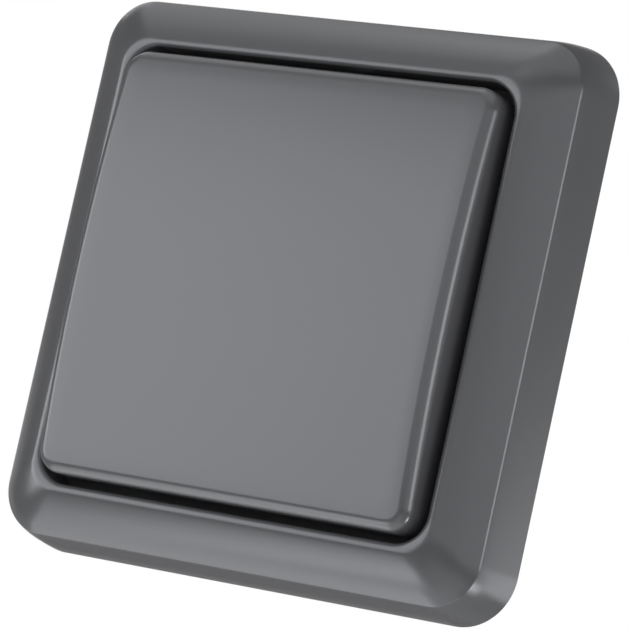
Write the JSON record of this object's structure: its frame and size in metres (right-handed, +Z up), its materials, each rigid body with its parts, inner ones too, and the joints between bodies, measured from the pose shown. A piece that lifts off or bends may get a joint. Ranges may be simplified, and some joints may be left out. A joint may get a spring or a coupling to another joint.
{
  "type": "wireless remote wall switch",
  "caption": "Square wall-mounted wireless switch: a crowned rocker in a sloped bezel tips up or down and springs back, pressing key switches on a battery radio module.",
  "frame": {"origin": "centre of the flat back face that lies on the wall", "axes": "+X right seen from the front, +Y into the wall, +Z up the wall; the front faces -Y"},
  "size_m": [0.08, 0.0167, 0.08],
  "materials": {
    "cover_plastic": "fine satin texture, anthracite",
    "base_plastic": "plain moulded, dark grey",
    "board_laminate": "green solder mask",
    "cell_steel": "nickel plated",
    "contact_metal": "plated spring strip",
    "key_steel": "stamped sheet",
    "key_plastic": "moulded",
    "plunger_plastic": "moulded",
    "screw_steel": "zinc plated",
    "chip_resin": "moulded resin",
    "ceramic": "sintered ceramic",
    "wire_copper": "tinned copper wire"
  },
  "bodies": {
    "switch_body": {"wall_plate": "base_plastic", "cover_frame": "cover_plastic", "module_base": "base_plastic", "module_top": "base_plastic", "module_screws": "screw_steel", "circuit_board": "board_laminate", "coin_cell": "cell_steel", "positive_contact": "contact_metal", "negative_contact": "contact_metal", "controller_chip": "chip_resin", "resonator_can": "key_steel", "output_transistor": "chip_resin", "chip_capacitors": "ceramic", "chip_resistors": "chip_resin", "antenna_loop": "wire_copper", "upper_key_base": "key_plastic", "upper_key_cover": "key_steel", "upper_key_dome": "key_steel", "upper_key_terminals": "contact_metal", "lower_key_base": "key_plastic", "lower_key_cover": "key_steel", "lower_key_dome": "key_steel", "lower_key_terminals": "contact_metal"},
    "rocker": {"rocker": "cover_plastic"},
    "upper_plunger": {"upper_plunger": "plunger_plastic"},
    "lower_plunger": {"lower_plunger": "plunger_plastic"}
  },
  "joints": [
    {"name": "rocker_tip", "type": "hinge", "parent": "switch_body", "child": "rocker", "pos_m": [0, -0.0076, 0], "axis": [-1, 0, 0], "range_deg": [-2.2, 2.2], "stiffness_Nm_per_rad": 1.5},
    {"name": "upper_plunger_slide", "type": "slide", "parent": "switch_body", "child": "upper_plunger", "axis": [0, 1, 0], "range_m": [-0.0003072, 0.0003072], "deforming": ["upper_key_dome"]},
    {"name": "lower_plunger_slide", "type": "slide", "parent": "switch_body", "child": "lower_plunger", "axis": [0, 1, 0], "range_m": [-0.0003072, 0.0003072], "deforming": ["lower_key_dome"]}
  ],
  "couplings": [
    {"joint": "upper_plunger_slide", "follows": "rocker_tip", "m_per_rad": 0.008},
    {"joint": "lower_plunger_slide", "follows": "rocker_tip", "m_per_rad": -0.008}
  ]
}
